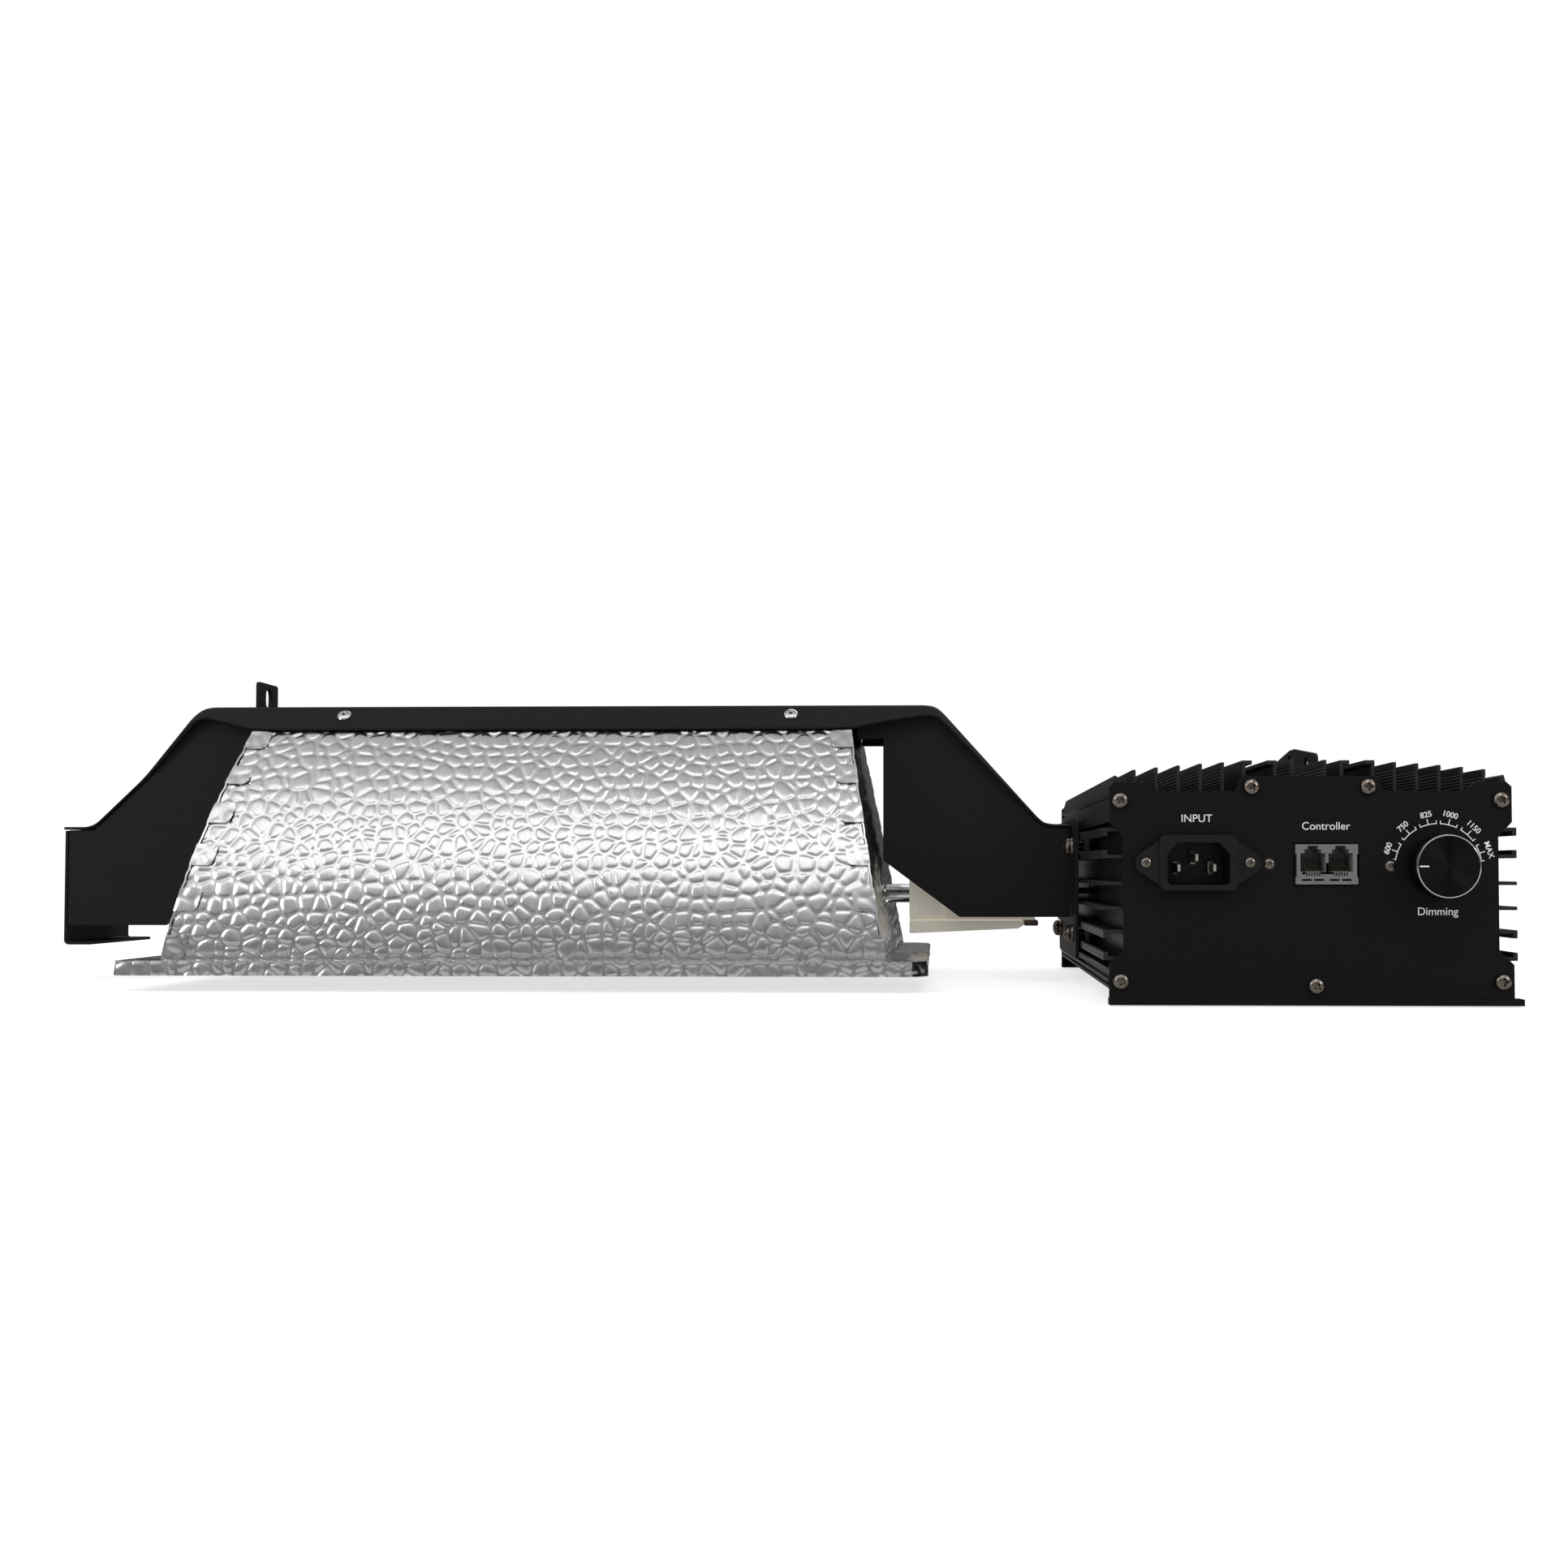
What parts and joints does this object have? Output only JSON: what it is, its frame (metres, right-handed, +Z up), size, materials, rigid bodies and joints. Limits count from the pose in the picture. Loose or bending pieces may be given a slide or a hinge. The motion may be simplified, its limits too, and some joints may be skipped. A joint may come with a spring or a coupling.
{
  "type": "grow lamp",
  "caption": "Double-ended greenhouse lamp: hammered reflector under a bent steel frame, lampholders at its ends, and a finned ballast with inlet, sockets and dimmer knob.",
  "frame": {"origin": "bottom centre of the whole object's box; the ballast's feet stand on z = 0", "axes": "+X along the lamp towards the ballast, +Y from the ballast's dimmer plate to its rear plate, +Z up"},
  "size_m": [0.644, 0.286, 0.1442],
  "materials": {
    "black_powder_coat": "fine textured matt black powder coat",
    "black_anodised": "satin black anodised extrusion",
    "hammered_aluminium": "bright, embossed all over with pebble shapes",
    "plated_steel": "bright plated",
    "cream_ceramic": "unglazed cream ceramic",
    "quartz_glass": "clear quartz",
    "white_alumina": "translucent white ceramic",
    "brown_phenolic": "matt brown moulding",
    "grey_plastic": "grey moulding",
    "black_plastic": "fine spark-eroded black moulding",
    "black_knob": "spun face, black anodised, bright turned edge",
    "board_green": "solder resist",
    "can_sleeve": "shrink sleeve",
    "core_grey": "potted ferrite",
    "lead_silicone": "silicone insulation"
  },
  "bodies": {
    "fixture": {"top_rail": "black_powder_coat", "left_bracket": "black_powder_coat", "right_bracket": "black_powder_coat", "left_end_plate": "black_powder_coat", "ballast_mount_plate": "black_powder_coat", "mount_screw_front_upper": "plated_steel", "mount_screw_front_lower": "plated_steel", "mount_screw_rear_upper": "plated_steel", "mount_screw_rear_lower": "plated_steel", "hanger_tab": "black_powder_coat", "ballast_hanger": "black_powder_coat", "hanger_bolt_front": "plated_steel", "hanger_bolt_rear": "plated_steel", "reflector_front": "hammered_aluminium", "reflector_back": "hammered_aluminium", "reflector_end_left": "hammered_aluminium", "reflector_end_right": "hammered_aluminium", "rivet_front_left": "plated_steel", "rivet_front_right": "plated_steel", "rivet_rear_left": "plated_steel", "rivet_rear_right": "plated_steel", "lamp_bulb": "quartz_glass", "arc_tube": "white_alumina", "lamp_contact_left": "plated_steel", "lamp_contact_right": "plated_steel", "lampholder_left": "cream_ceramic", "lampholder_right": "cream_ceramic", "lampholder_cover_left": "cream_ceramic", "lampholder_cover_right": "cream_ceramic", "lamp_spring_left": "plated_steel", "lamp_spring_right": "plated_steel", "terminal_left": "brown_phenolic", "terminal_right": "brown_phenolic", "lamp_lead_left": "lead_silicone", "lamp_lead_right": "lead_silicone", "ballast_housing": "black_anodised", "base_plate": "black_anodised", "front_plate": "black_powder_coat", "rear_plate": "black_powder_coat", "plate_screw_top_left": "plated_steel", "plate_screw_crown_left": "plated_steel", "plate_screw_crown_right": "plated_steel", "plate_screw_top_right": "plated_steel", "plate_screw_bottom_left": "plated_steel", "plate_screw_bottom_middle": "plated_steel", "plate_screw_bottom_right": "plated_steel", "inlet_body": "black_plastic", "inlet_blade_earth": "plated_steel", "inlet_blade_left": "plated_steel", "inlet_blade_right": "plated_steel", "inlet_screw_left": "plated_steel", "inlet_screw_right": "plated_steel", "port_block": "grey_plastic", "dimmer_switch": "black_plastic", "power_board": "board_green", "choke_coil": "core_grey", "capacitor": "can_sleeve"},
    "dimmer": {"dimmer_knob": "black_knob", "dimmer_shaft": "plated_steel"}
  },
  "joints": [
    {"name": "dimmer_turn", "type": "hinge", "parent": "fixture", "child": "dimmer", "pos_m": [0.2898, -0.1281, 0.05385], "axis": [0, 1, 0], "range_deg": [0, 170]}
  ]
}
